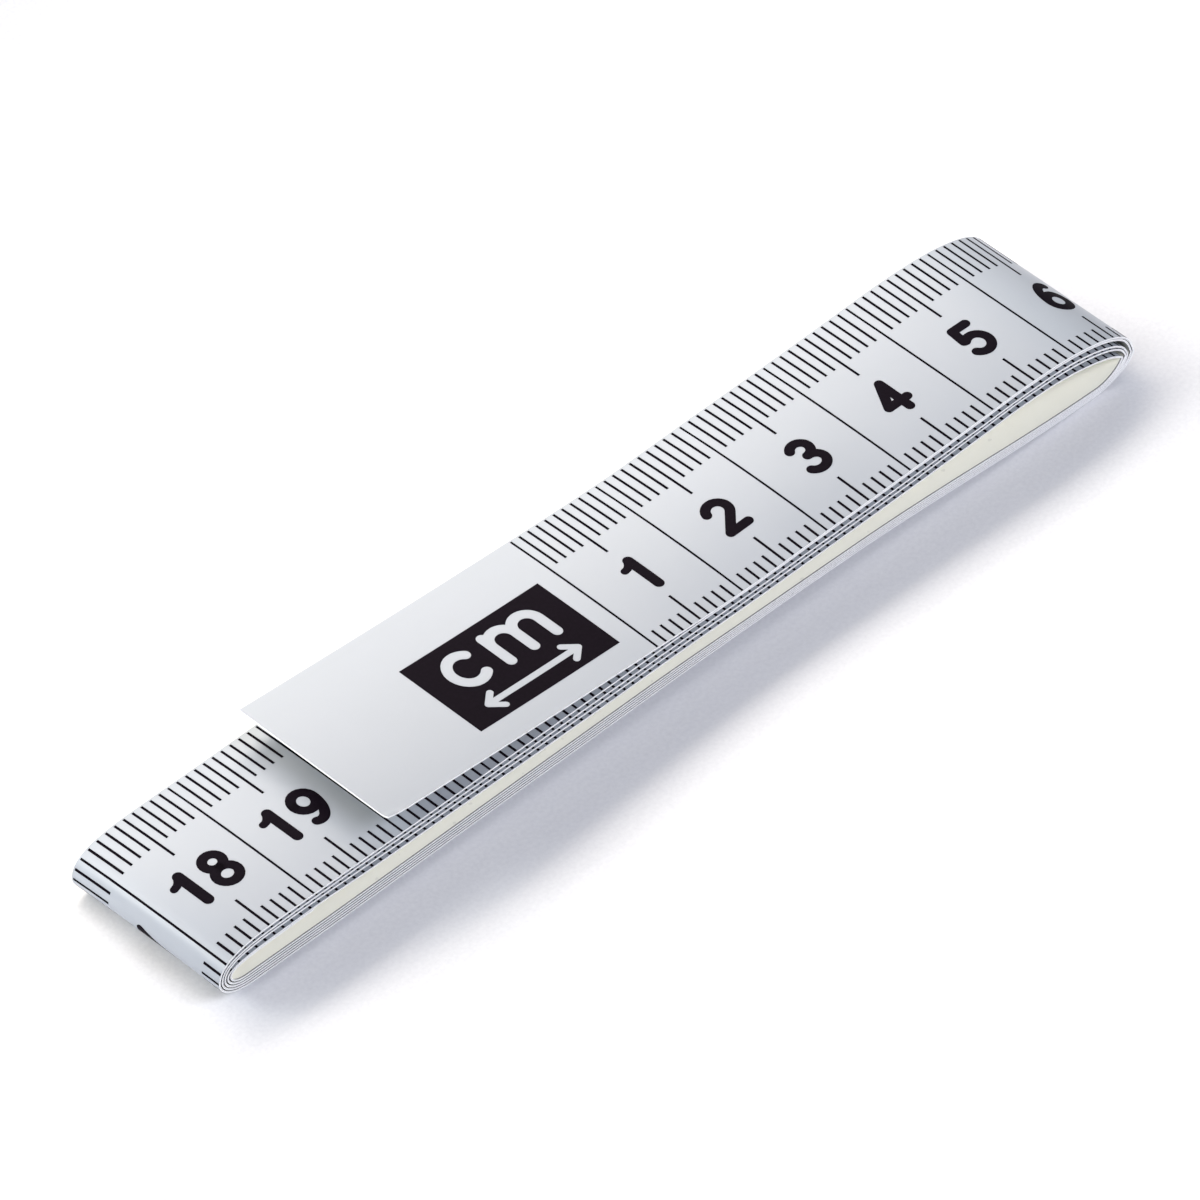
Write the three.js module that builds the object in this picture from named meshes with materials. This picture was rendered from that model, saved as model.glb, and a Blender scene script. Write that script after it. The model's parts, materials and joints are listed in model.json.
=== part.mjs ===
// Self-adhesive tape measure, wound flat with its scale outward and its free lead on top.
// The tape is a printed plastic film, its adhesive and a paper release liner on the inside.
// Millimetres, +Z up, +X along the scale on the top run, +Y across the tape.
// The origin is on the table, under the middle of the coil.
import * as THREE from 'three';

// The tape
const TAPE_WIDTH = 17.6;
const FILM_THICKNESS = 0.08;
const ADHESIVE_THICKNESS = 0.03;
const LINER_THICKNESS = 0.06;

// Where the tape runs, given on its print face, before the coil is bowed
const COIL_LENGTH = 107.3;
const LEAD_SETBACK = 19.1;
const LEAD_HEIGHT = 8.1;
const LEAD_SLOPE = -7.0;
const LEAD_ARM = 14.0;
const DIP_SETBACK = 61.6;
const DIP_HEIGHT = 4.75;
const DIP_ARM = 13.0;
const CREST_SETBACK = 10.9;
const CREST_HEIGHT = 6.42;
const CREST_ARM = 7.0;
const RIGHT_TIP_HEIGHT = 2.07;
const RIGHT_TIP_UPPER_ARM = 2.4;
const RIGHT_TIP_LOWER_ARM = 0.45;
const HEEL_SETBACK = 4.9;
const HEEL_ARM = 1.9;
const LEFT_TIP_HEIGHT = 2.3;
const LEFT_CORNER = 3.9;
const LEFT_CORNER_ARM = 2.9;
const LEFT_LOWER_ARM = 0.9;
const LEFT_UPPER_ARM = 2.4;
const SHOULDER_SETBACK = 7.0;
const SHOULDER_HEIGHT = 5.15;
const SHOULDER_SLOPE = 2.5;
const SHOULDER_ARM = 4.0;
const HUMP_SETBACK = 34.6;
const HUMP_HEIGHT = 4.95;
const RUN_ARM = 10.0;

// The coil stands on its two ends and bows off the table between them
const BOW_SETBACK = 57.4;
const BOW_REACH = 46.0;
const BOW_RISE = 1.1;

// Clear space between the top run and the turn below it
const TURN_GAP = 0.45;
const LEAST_GAP = 0.4;

// The inner turns, as one flat ring
const CORE_CLEARANCE = 0.1;
const CORE_TOP_WALL = 1.3;
const CORE_BOTTOM_WALL = 0.72;
const CORE_LEFT_WALL = 0.85;
const CORE_RIGHT_WALL = 0.9;
const CORE_RIGHT_INSET = 0.8;
const CORE_HEEL_ARM = 1.7;
const CORE_TIP_ARM = 0.5;
const CORE_CREST_ARM = 6.2;

// Bend lines: the tight bend of the right fold lies between two gentler pieces
const FOLD_TOP_SETBACK = 17.0;
const FOLD_FOOT_SETBACK = 11.0;
const BEND_TURN = 120;
const LEAD_PIECES = 3;
const LEAD_PIECE_LENGTH = 8.0;
const PEEL_PIECES = 2;
const PEEL_PIECE_LENGTH = 4.5;
const FACET_TURN = 5.0;
const FACET_LENGTH = 8.0;

const LAMINATE = FILM_THICKNESS + ADHESIVE_THICKNESS + LINER_THICKNESS;
const TURN_PITCH = LAMINATE + TURN_GAP;
const LEFT_X = -COIL_LENGTH / 2;
const RIGHT_X = COIL_LENGTH / 2;
const LEAD_X = LEFT_X + LEAD_SETBACK;
const DIP_X = LEFT_X + DIP_SETBACK;
const HUMP_X = LEFT_X + HUMP_SETBACK;
const CREST_X = RIGHT_X - CREST_SETBACK;
const HEEL_X = RIGHT_X - HEEL_SETBACK;
const BOW_X = LEFT_X + BOW_SETBACK;

// Curves in the X-Z plane, drawn as 2-D curves with Z as their second coordinate
const knot = (x, z, heading = 0) => ({ x, z, heading: THREE.MathUtils.degToRad(heading) });
const ahead = (k, arm) => new THREE.Vector2(k.x + arm * Math.cos(k.heading), k.z + arm * Math.sin(k.heading));
const bend = (from, to, armOut, armIn) => new THREE.CubicBezierCurve(
  ahead(from, 0), ahead(from, armOut), ahead(to, -armIn), ahead(to, 0));
const straight = (from, to) => new THREE.LineCurve(ahead(from, 0), ahead(to, 0));

// The route of the print face, from the lead's free end to the second turn's end
const leadEnd = knot(LEAD_X, LEAD_HEIGHT, LEAD_SLOPE);
const dip = knot(DIP_X, DIP_HEIGHT);
const crest = knot(CREST_X, CREST_HEIGHT);
const rightTip = knot(RIGHT_X, RIGHT_TIP_HEIGHT, -90);
const heel = knot(HEEL_X, 0, 180);
const leftCorner = knot(LEFT_X + LEFT_CORNER, 0, 180);
const leftTip = knot(LEFT_X, LEFT_TIP_HEIGHT, 90);
const shoulder = knot(LEFT_X + SHOULDER_SETBACK, SHOULDER_HEIGHT, SHOULDER_SLOPE);
const hump = knot(HUMP_X, HUMP_HEIGHT);
const secondDip = knot(DIP_X, DIP_HEIGHT - TURN_PITCH);
const secondCrest = knot(CREST_X, CREST_HEIGHT - TURN_PITCH);

const route = [
  bend(leadEnd, dip, LEAD_ARM, RUN_ARM),
  bend(dip, crest, DIP_ARM, CREST_ARM),
  bend(crest, rightTip, CREST_ARM, RIGHT_TIP_UPPER_ARM),
  bend(rightTip, heel, RIGHT_TIP_LOWER_ARM, HEEL_ARM),
  straight(heel, leftCorner),
  bend(leftCorner, leftTip, LEFT_CORNER_ARM, LEFT_LOWER_ARM),
  bend(leftTip, shoulder, LEFT_UPPER_ARM, SHOULDER_ARM),
  bend(shoulder, hump, SHOULDER_ARM, RUN_ARM),
  bend(hump, secondDip, RUN_ARM, RUN_ARM),
  bend(secondDip, secondCrest, DIP_ARM, CREST_ARM),
];
const DIP_STATION = 1;
const FOLD_STATION = 2;
const HEEL_STATION = 4;
const SHOULDER_STATION = 7;
const END_STATION = route.length;

// How far the bow lifts a place, and how steeply it rises there
function bow(x) {
  const reach = THREE.MathUtils.clamp((x - BOW_X) / BOW_REACH, -1, 1);
  const rest = Math.sqrt(1 - reach * reach);
  return { lift: BOW_RISE * rest ** 3, slope: -3 * BOW_RISE * rest * reach / BOW_REACH };
}
const bowed = (point) => new THREE.Vector2(point.x, point.y + bow(point.x).lift);

// A station is a curve's number plus the share of that curve already passed
function locate(station) {
  const index = Math.min(Math.floor(station), route.length - 1);
  const share = station - index;
  const flat = route[index].getPoint(share);
  const tangent = route[index].getTangent(share);
  tangent.y += tangent.x * bow(flat.x).slope;
  return { point: bowed(flat), tangent: tangent.normalize() };
}

// The point that lies a given depth below the print face, towards the inside of the coil
function below(station, depth) {
  const { point, tangent } = locate(station);
  return new THREE.Vector2(point.x + depth * tangent.y, point.y - depth * tangent.x);
}

// How far the right fold has turned by a station, in degrees
function turned(station) {
  const { tangent } = locate(station);
  return THREE.MathUtils.radToDeg(Math.atan2(-tangent.y, tangent.x));
}

// The station between two others where a rising measure reaches its target
function stationWhere(measure, target, low, high) {
  for (let halving = 0; halving < 50; halving += 1) {
    const middle = (low + high) / 2;
    if (measure(middle) < target) low = middle;
    else high = middle;
  }
  return (low + high) / 2;
}

// Facets of one curve, from the angle that its tangent sweeps and from its length
function facetCount(curve) {
  const looks = 24;
  let sweep = 0;
  for (let look = 0; look < looks; look += 1) {
    const cross = curve.getTangent(look / looks).cross(curve.getTangent((look + 1) / looks));
    sweep += Math.abs(Math.asin(THREE.MathUtils.clamp(cross, -1, 1)));
  }
  const turnFacets = THREE.MathUtils.radToDeg(sweep) / FACET_TURN;
  return Math.ceil(Math.max(turnFacets, curve.getLength() / FACET_LENGTH));
}

// The two ends of a stretch and every corner between them: the facets, and the cuts of the ply beside it
const cuts = [];
function stationsBetween(start, end) {
  const margin = 1e-3;
  const facetStations = route.flatMap((curve, index) => {
    const facets = facetCount(curve);
    return Array.from({ length: facets }, (_, corner) => index + corner / facets);
  });
  const isInside = (station) => station > start + margin && station < end - margin;
  const between = [...facetStations, ...cuts].filter(isInside).sort((a, b) => a - b);
  return [start, ...between, end];
}

// A closed outline in X-Z, carried across the width of the tape
function acrossTape(shape) {
  const geometry = new THREE.ExtrudeGeometry(shape, { depth: TAPE_WIDTH, bevelEnabled: false, curveSegments: 12 });
  geometry.translate(0, 0, -TAPE_WIDTH / 2);
  geometry.rotateX(Math.PI / 2);
  return geometry;
}

const materials = {
  film: new THREE.MeshStandardMaterial({ color: 0xeceef2, roughness: 0.42, metalness: 0 }),
  adhesive: new THREE.MeshStandardMaterial({ color: 0xdfe0d8, roughness: 0.3, metalness: 0 }),
  liner: new THREE.MeshStandardMaterial({ color: 0xdddccf, roughness: 0.75, metalness: 0 }),
  turns: new THREE.MeshStandardMaterial({ color: 0xe2e2dc, roughness: 0.6, metalness: 0 }),
};

const tapeMeasure = new THREE.Group();
tapeMeasure.name = 'adhesive_tape_measure';
tapeMeasure.userData.bendLines = {};

function addPiece(name, geometry, material) {
  const mesh = new THREE.Mesh(geometry, material);
  mesh.name = name;
  tapeMeasure.add(mesh);
}

// The plies of the tape, with the depths of their two faces below the print face
const plies = {
  film: [0, FILM_THICKNESS],
  adhesive: [FILM_THICKNESS, FILM_THICKNESS + ADHESIVE_THICKNESS],
  liner: [FILM_THICKNESS + ADHESIVE_THICKNESS, LAMINATE],
};

// One ply of one stretch of tape
function addPly(name, ply, start, end) {
  const [upper, lower] = plies[ply];
  const stations = stationsBetween(start, end);
  const face = stations.map((station) => below(station, upper));
  const back = stations.map((station) => below(station, lower));
  const outline = new THREE.Shape([...face, ...back.reverse()]);
  addPiece(`${name}_${ply}`, acrossTape(outline), materials[ply]);
}

function addTape(name, start, end) {
  Object.keys(plies).forEach((ply) => addPly(name, ply, start, end));
}

// A line across the print face where two pieces of tape hinge
function addBendLine(name, station) {
  const { point } = locate(station);
  tapeMeasure.userData.bendLines[name] = { x: point.x, z: point.y };
}

// Where the right fold's pieces begin on the top run and end on the bottom run
const alongX = (station) => locate(station).point.x;
const backX = (station) => -alongX(station);
const foldTop = stationWhere(alongX, RIGHT_X - FOLD_TOP_SETBACK, DIP_STATION, FOLD_STATION);
const foldFoot = stationWhere(backX, FOLD_FOOT_SETBACK - RIGHT_X, HEEL_STATION, HEEL_STATION + 1);

// The lead: a tab whose film peels off its liner, then pieces that lift in turn
const peelStation = (count) => stationWhere(alongX, LEAD_X + count * PEEL_PIECE_LENGTH, 0, DIP_STATION);
const tabEnd = peelStation(PEEL_PIECES);
const tabEndX = LEAD_X + PEEL_PIECES * PEEL_PIECE_LENGTH;
const leadStation = (count) => stationWhere(alongX, tabEndX + count * LEAD_PIECE_LENGTH, 0, DIP_STATION);

for (let count = 1; count < PEEL_PIECES; count += 1) cuts.push(peelStation(count));
addPly('lead_tab', 'liner', 0, tabEnd);
for (let piece = 1; piece <= PEEL_PIECES; piece += 1) {
  const start = piece === PEEL_PIECES ? 0 : peelStation(PEEL_PIECES - piece);
  const end = peelStation(PEEL_PIECES - piece + 1);
  addPly(`peel_${piece}`, 'film', start, end);
  addPly(`peel_${piece}`, 'adhesive', start, end);
  addBendLine(`peel_${piece}`, end);
}
for (let piece = 1; piece <= LEAD_PIECES; piece += 1) {
  const start = leadStation(LEAD_PIECES - piece);
  const end = leadStation(LEAD_PIECES - piece + 1);
  addTape(`lead_${piece}`, start, end);
  addBendLine(`lead_${piece}`, end);
}
addBendLine('lead_tab', tabEnd);
const runStart = leadStation(LEAD_PIECES);
addTape('run', runStart, foldTop);
addBendLine('run', foldTop);

// The right fold, first piece at the table, cut where its tight bend starts and ends
const turnStation = (turn) => stationWhere(turned, turn, FOLD_STATION, HEEL_STATION);
const bendStart = turnStation(90 - BEND_TURN / 2);
const bendEnd = turnStation(90 + BEND_TURN / 2);
const foldEnds = [foldFoot, bendEnd, bendStart, foldTop];
for (let piece = 1; piece < foldEnds.length; piece += 1) {
  addTape(`fold_${piece}`, foldEnds[piece], foldEnds[piece - 1]);
  addBendLine(`fold_${piece}`, foldEnds[piece - 1]);
}

// The bottom run, the left fold and the second turn, one unbroken stretch
addTape('outer_turn', foldFoot, END_STATION);

// The inner turns: outside it follows the outer turn, inside it leaves the flat hollow
const coreDepth = LAMINATE + CORE_CLEARANCE;
const coreTop = (knotAbove) => knot(knotAbove.x, knotAbove.z - coreDepth);
const coreTip = knot(RIGHT_X - CORE_RIGHT_INSET, RIGHT_TIP_HEIGHT, -90);
const coreHeel = knot(HEEL_X, coreDepth, 180);
const coreEnd = [
  bend(coreTop(secondCrest), coreTip, CORE_CREST_ARM, RIGHT_TIP_UPPER_ARM),
  bend(coreTip, coreHeel, CORE_TIP_ARM, CORE_HEEL_ARM),
];
const facetCorners = (curve) => curve.getPoints(facetCount(curve)).slice(0, -1).map(bowed);
const corners = (curves) => curves.flatMap(facetCorners);
const coreSide = stationsBetween(HEEL_STATION, END_STATION).map((station) => below(station, coreDepth));
const coreOutline = new THREE.Shape([...coreSide, ...corners(coreEnd).slice(1)]);

const hollowTop = (knotAbove) => knot(knotAbove.x, knotAbove.z - coreDepth - CORE_TOP_WALL);
const hollowFloor = coreDepth + CORE_BOTTOM_WALL;
const hollowRight = knot(coreTip.x - CORE_RIGHT_WALL, RIGHT_TIP_HEIGHT, -90);
const hollowHeel = knot(HEEL_X, hollowFloor, 180);
const hollowToe = knot(LEFT_X + SHOULDER_SETBACK, hollowFloor, 180);
const hollowLeft = knot(LEFT_X + coreDepth + CORE_LEFT_WALL, (hollowFloor + hollowTop(shoulder).z) / 2, 90);
const hollow = [
  bend(hollowLeft, hollowTop(shoulder), CORE_TIP_ARM, SHOULDER_ARM),
  bend(hollowTop(shoulder), hollowTop(hump), SHOULDER_ARM, RUN_ARM),
  bend(hollowTop(hump), hollowTop(secondDip), RUN_ARM, RUN_ARM),
  bend(hollowTop(secondDip), hollowTop(secondCrest), DIP_ARM, CREST_ARM),
  bend(hollowTop(secondCrest), hollowRight, CORE_CREST_ARM, CORE_TIP_ARM),
  bend(hollowRight, hollowHeel, CORE_TIP_ARM, CORE_HEEL_ARM),
  straight(hollowHeel, hollowToe),
  bend(hollowToe, hollowLeft, SHOULDER_ARM, CORE_TIP_ARM),
];
coreOutline.holes.push(new THREE.Path(corners(hollow).reverse()));
addPiece('inner_turns', acrossTape(coreOutline), materials.turns);

// Least clear space between the top run and the second turn, measured on points
function leastGap(stepsPerCurve) {
  let least = Infinity;
  for (let upper = 0; upper <= HEEL_STATION * stepsPerCurve; upper += 1) {
    const face = below(upper / stepsPerCurve, LAMINATE);
    for (let lower = SHOULDER_STATION * stepsPerCurve; lower <= END_STATION * stepsPerCurve; lower += 1) {
      least = Math.min(least, face.distanceTo(below(lower / stepsPerCurve, 0)));
    }
  }
  return least;
}
const gap = leastGap(200);
console.log(`least gap of the tape to itself ${gap.toFixed(3)} mm, over ${LEAST_GAP} mm: ${gap > LEAST_GAP}`);

export default tapeMeasure;
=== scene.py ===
# %% [markdown]
# # A stick-on measuring tape, wound flat
#
# The real object is one strip, about a metre long: a white plastic film printed with a scale, a coat of
# glue behind it and a cream paper liner over the glue. It is wound flat with the scale outwards, so it
# lies on the table as a low coil, five layers above its hollow and five below, with its blank end on top.
# The CAD part that this lesson loads holds the sizes and the hinges. The lesson draws the strip as it
# looks: every turn, the print, the finishes, and a table with light to see it by.

# %% Load the CAD part
import json
import math

import bpy
import numpy as np
from mathutils import Matrix

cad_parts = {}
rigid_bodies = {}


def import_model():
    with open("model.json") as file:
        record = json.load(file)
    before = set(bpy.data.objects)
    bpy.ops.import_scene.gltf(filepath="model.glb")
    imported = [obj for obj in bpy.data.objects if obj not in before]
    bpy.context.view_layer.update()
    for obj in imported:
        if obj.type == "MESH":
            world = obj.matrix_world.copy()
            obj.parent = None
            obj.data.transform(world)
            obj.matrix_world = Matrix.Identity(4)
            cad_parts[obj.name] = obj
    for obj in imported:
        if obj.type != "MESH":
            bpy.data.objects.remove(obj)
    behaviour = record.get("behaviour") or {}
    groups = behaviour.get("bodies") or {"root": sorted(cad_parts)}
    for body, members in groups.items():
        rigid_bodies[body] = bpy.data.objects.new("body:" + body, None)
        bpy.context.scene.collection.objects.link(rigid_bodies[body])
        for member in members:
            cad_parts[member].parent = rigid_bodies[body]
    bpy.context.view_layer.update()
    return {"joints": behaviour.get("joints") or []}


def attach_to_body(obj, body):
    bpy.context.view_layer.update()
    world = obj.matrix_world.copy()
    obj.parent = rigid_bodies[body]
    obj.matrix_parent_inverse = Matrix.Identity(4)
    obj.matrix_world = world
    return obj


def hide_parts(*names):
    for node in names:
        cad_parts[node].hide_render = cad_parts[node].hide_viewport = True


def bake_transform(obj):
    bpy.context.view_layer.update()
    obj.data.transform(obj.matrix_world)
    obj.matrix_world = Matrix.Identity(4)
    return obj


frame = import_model()
MM = 0.001
hinges = {joint["child"]: np.array(joint["pos_m"]) / MM for joint in frame["joints"]}

# %% [markdown]
# ## The path of the strip
#
# Seen from the edge, the coil is one long line that runs over itself ten times. It could be a curve drawn by
# hand, but then the layers would cut through each other, and the print would have no true length to sit on.
# So the line is worked out in millimetres: bends between knots for the folds, and tables of heights for the
# long flat runs. Everything else in this lesson is placed by its distance along this line.

# %% Two kinds of curve
def bend(start, finish, arm_out, arm_in, steps=200):
    """Cubic Bezier between two knots (x, z, heading in degrees): the sum of four control points, each times
    its Bernstein weight. The inner two lie an arm's length ahead of the first knot and behind the second."""
    (x0, z0, leave), (x1, z1, arrive) = start, finish
    leave, arrive = math.radians(leave), math.radians(arrive)
    controls = np.array([
        (x0, z0),
        (x0 + arm_out * math.cos(leave), z0 + arm_out * math.sin(leave)),
        (x1 - arm_in * math.cos(arrive), z1 - arm_in * math.sin(arrive)),
        (x1, z1),
    ])
    t = np.linspace(0, 1, steps)[:, None]
    weights = np.hstack([(1 - t) ** 3, 3 * t * (1 - t) ** 2, 3 * t**2 * (1 - t), t**3])
    return weights @ controls


def through(table_x, table_y, x):
    """Smooth curve through a table: cubic Hermite pieces whose slopes are the table's own gradient."""
    table_x, table_y = np.asarray(table_x, float), np.asarray(table_y, float)
    slope = np.gradient(table_y, table_x)
    left = np.clip(np.searchsorted(table_x, x, side="right") - 1, 0, len(table_x) - 2)
    span = table_x[left + 1] - table_x[left]
    t = np.clip((x - table_x[left]) / span, 0, 1)
    value = (1 + 2 * t) * (1 - t) ** 2 * table_y[left] + t * t * (3 - 2 * t) * table_y[left + 1]
    return value + span * (t * (1 - t) ** 2 * slope[left] + t * t * (t - 1) * slope[left + 1])


# %% The runs above and below the hollow
STRIP_WIDTH = 17.6
FILM, GLUE, LINER = 0.08, 0.03, 0.06
LAMINATE = FILM + GLUE + LINER
LEFT, RIGHT = -53.65, 53.65
SHOULDER_X, CREST_X, HEEL_X = -46.65, 42.75, 48.75
TOP_X = [-34.55, -26.45, -17.25, -7.95, 1.45, 4.5, 8.0, 15.65, 25.25, 34.95, 39.85, CREST_X]
TOP_Z = [8.17, 7.27, 6.32, 5.54, 4.95, 4.83, 4.76, 5.01, 5.39, 5.95, 6.28, 6.33]
UPPER_X = [SHOULDER_X, -42.45, -36.75, -29.95, -21.85, -12.65] + TOP_X[3:]
SECOND_TURN_Z = [5.20, 5.22, 5.14, 5.00, 4.91, 4.81, 4.77, 4.70, 4.64, 4.57, 4.82, 5.20, 5.76, 6.09, 6.12]
AIR_BELOW = [
    [0.31, 0.26, 0.23, 0.32, 0.42, 0.49, 0.51, 0.54, 0.52, 0.45, 0.55, 0.53, 0.54, 0.55, 0.50],
    [0.19, 0.25, 0.37, 0.37, 0.37, 0.37, 0.37, 0.37, 0.37, 0.36, 0.31, 0.36, 0.23, 0.19, 0.25],
    [0.55, 0.49, 0.55, 0.49, 0.49, 0.49, 0.49, 0.43, 0.44, 0.45, 0.49, 0.49, 0.61, 0.61, 0.61],
    [0.03] * 15,
]
LOWER_X = [LEFT, -46.0, -30.0, -12.0, -3.0, 8.0, 25.0, 40.0, HEEL_X, RIGHT]
LOWER_AIR = [0.125, 0.125, 0.12, 0.11, 0.10, 0.05, 0.045, 0.03, 0.012, 0.012]
PROBE = 0.02


def upper_run(turn, x):
    """Height of the print on an upper run: from the table of the top run for the first turn, and for the
    others the second turn's table, less a laminate and its air for each turn below that."""
    if turn == 1:
        return through(TOP_X, TOP_Z, x)
    height = through(UPPER_X, SECOND_TURN_Z, x)
    for air in AIR_BELOW[: turn - 2]:
        height = height - LAMINATE - through(UPPER_X, air, x)
    return height


def lower_run(turn, x):
    """Height of the print on a lower run: one laminate and a little air for each turn below it."""
    return (turn - 1) * (LAMINATE + through(LOWER_X, LOWER_AIR, x))


def knot_on(turn, x):
    """Knot on an upper run: the place, its height, and the heading between two points a probe apart."""
    here, ahead = upper_run(turn, np.array([x, x + PROBE]) - PROBE / 2)
    return x, float((here + ahead) / 2), math.degrees(math.atan2(ahead - here, PROBE))


print(f"stack at the crest: {upper_run(2, CREST_X) - upper_run(5, CREST_X):.2f} mm over three turns")

# %% [markdown]
# ## The folds
#
# At each end the strip turns back on itself, and each fold lies inside the one before it. On the real coil
# the folds are pressed to blunt wedges, tight below and open above. Copies of one fold, made smaller, would
# cross, so each fold has its own knots, and an inner right fold ends along the underside of the outer one.

# %% Right and left folds
TIP_Z, RIGHT_INSET = 2.07, [0.0, 0.28, 0.72, 0.95, 1.36]
CREST_ARM, TIP_ARM = [7.0, 6.9, 6.2, 6.2, 5.5], [2.4, 2.3, 1.6, 1.3, 0.35]
RIGHT_JOIN_X, RIGHT_JOIN_ARMS = [0.0, 52.3, 52.0, 51.7, 51.3], (0.25, 0.4)
UNDERSIDE_TIP_ARM, UNDERSIDE_HEEL_ARM = 0.45, 1.9
LEFT_TIP_Z, LEFT_INSET = 2.3, [0.0, 0.30, 0.60, 0.92, 1.25]
LEFT_CORNER, LEFT_CORNER_ARM, LEFT_LOWER_ARM, LEFT_UPPER_ARM, SHOULDER_ARM = 3.9, 2.9, 0.9, 2.4, 4.0
LEFT_RISE_AT = 2.0
outer_underside = bend((RIGHT, TIP_Z, -90), (HEEL_X, 0, 180), UNDERSIDE_TIP_ARM, UNDERSIDE_HEEL_ARM, 400)


def inside(line, depth):
    """A line moved to its inner side: each point plus the depth times the tangent turned a quarter right."""
    tangent = np.gradient(line, axis=0)
    tangent /= np.hypot(tangent[:, 0], tangent[:, 1])[:, None]
    return line + depth * np.stack([tangent[:, 1], -tangent[:, 0]], 1)


def right_fold(turn):
    """Crest to tip, then tip to heel. The inner turns join the outer underside, moved in by their depth."""
    tip = (RIGHT - RIGHT_INSET[turn - 1], TIP_Z, -90)
    upper = bend(knot_on(turn, CREST_X), tip, CREST_ARM[turn - 1], TIP_ARM[turn - 1])
    if turn == 1:
        return [upper, outer_underside]
    underside = inside(outer_underside, float(lower_run(turn, HEEL_X)))
    underside = underside[underside[:, 0] < RIGHT_JOIN_X[turn - 1]]
    run_x, run_z = underside[1] - underside[0]
    join = (*underside[0], math.degrees(math.atan2(run_z, run_x)))
    arm_out, arm_in = RIGHT_JOIN_ARMS[0] * (tip[1] - join[1]), RIGHT_JOIN_ARMS[1] * (tip[0] - join[0])
    return [upper, bend(tip, join, arm_out, arm_in), underside[1:]]


def left_fold(turn):
    """Corner on the lower run to the tip, then tip to the shoulder of the next upper run. Each arm is the
    outer fold's, made shorter as the rise to the tip gets less."""
    tip = (LEFT + LEFT_INSET[turn - 1], LEFT_TIP_Z, 90)
    rise = 1 - float(lower_run(turn, LEFT + LEFT_RISE_AT)) / LEFT_TIP_Z
    corner_x = tip[0] + LEFT_CORNER * rise
    corner = (corner_x, float(lower_run(turn, corner_x)), 180)
    shoulder = knot_on(turn + 1, SHOULDER_X + PROBE)
    climb = (shoulder[1] - LEFT_TIP_Z) / (SECOND_TURN_Z[0] - LEFT_TIP_Z)
    lower = bend(corner, tip, LEFT_CORNER_ARM * rise, LEFT_LOWER_ARM * rise)
    return [lower, bend(tip, shoulder, LEFT_UPPER_ARM * climb, SHOULDER_ARM)]


# %% [markdown]
# ## One line, measured
#
# The pieces are laid end to end: the lead that lies on top, then fold, lower run, fold and upper run, five
# times over. A line of points at even distances makes every later question easy. Where is the 17 cm mark?
# Look up 170 in the table. The scale's zero is where the first line across the strip is printed.

# %% Join the runs and folds
TURNS = 5
TAIL_X = -43.0
top_x = np.linspace(TOP_X[0], CREST_X, 600)
path = [np.stack([top_x, upper_run(1, top_x)], 1)]
for turn in range(1, TURNS + 1):
    folded = left_fold(turn)
    lower_x = np.linspace(HEEL_X, folded[0][0, 0], 400)
    upper_x = np.linspace(SHOULDER_X + PROBE, CREST_X if turn < TURNS else TAIL_X, 400)
    path += right_fold(turn)
    path += [np.stack([lower_x, lower_run(turn, lower_x)], 1)]
    path += folded
    path += [np.stack([upper_x, upper_run(turn + 1, upper_x)], 1)]
line = np.concatenate([part[:-1] for part in path] + [path[-1][-1:]])
print(f"{len(path)} curves joined, {len(line)} points")

# %% Bow the coil off the table
BOW_X, BOW_REACH, BOW_RISE = 3.75, 46.0, 1.1


def bow(x):
    """How far the coil stands off the table: the rise times the cube of the height of a half circle."""
    return BOW_RISE * np.sqrt(1 - np.clip((x - BOW_X) / BOW_REACH, -1, 1) ** 2) ** 3


line[:, 1] += bow(line[:, 0])
print(f"least height of the line over the table: {line[:, 1].min():.2f} mm")

# %% Tables by distance along the scale
ZERO_X = -3.55
STEP = 0.05
travelled = np.concatenate([[0], np.cumsum(np.hypot(*np.diff(line, axis=0).T))])
on_top = len(top_x) - 1
zero = float(np.interp(ZERO_X, line[:on_top, 0], travelled[:on_top]))
scale_mm = np.arange(0, travelled[-1], STEP) - zero
line_x = np.interp(scale_mm + zero, travelled, line[:, 0])
line_z = np.interp(scale_mm + zero, travelled, line[:, 1])
turning = np.unwrap(np.arctan2(np.gradient(line_z), np.gradient(line_x)))
curvature = np.abs(np.gradient(turning, STEP))
print(f"strip {travelled[-1]:.0f} mm, scale {scale_mm[0]:.1f} to {scale_mm[-1]:.1f} mm")

# %% [markdown]
# ## From the flat strip to the coil
#
# A point of the flat strip has three numbers: its place on the scale, its distance from the middle, and its
# depth under the print. One function turns these into a point of the coil, so the film, the glue, the liner
# and the ink can't come apart. Small irregularities are in it too: the coil is rolled at the left, so that its
# near side stands higher there and its far edge droops, the top run is a little crowned, the lower runs stick
# out on the near side at the right, and the lead's near corner is a small dog-ear.

# %% Place a point of the strip
NEAR, FAR = -8.75, -8.75 + STRIP_WIDTH
LEAD_END = float(scale_mm[0])
ROLL_RISE, ROLL_SHIFT, ROLL_FROM, ROLL_SPAN = 0.55, 0.1, -5.25, 41.0
EAR_LENGTH, EAR_DEPTH, EAR_RISE = 2.5, 0.85, 0.25
CROWN_RISE, CROWN_AT, CROWN_SPAN = 0.28, 17.0, 31.0
SKEW, SKEW_FROM, SKEW_SPAN, SKEW_TOP, SKEW_FADE = 0.5, 20.0, 25.0, 2.9, 2.0


def smooth(value):
    """Smoothstep: three times the square less twice the cube, after cutting the value to 0 and 1."""
    value = np.clip(value, 0, 1)
    return value * value * (3 - 2 * value)


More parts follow.
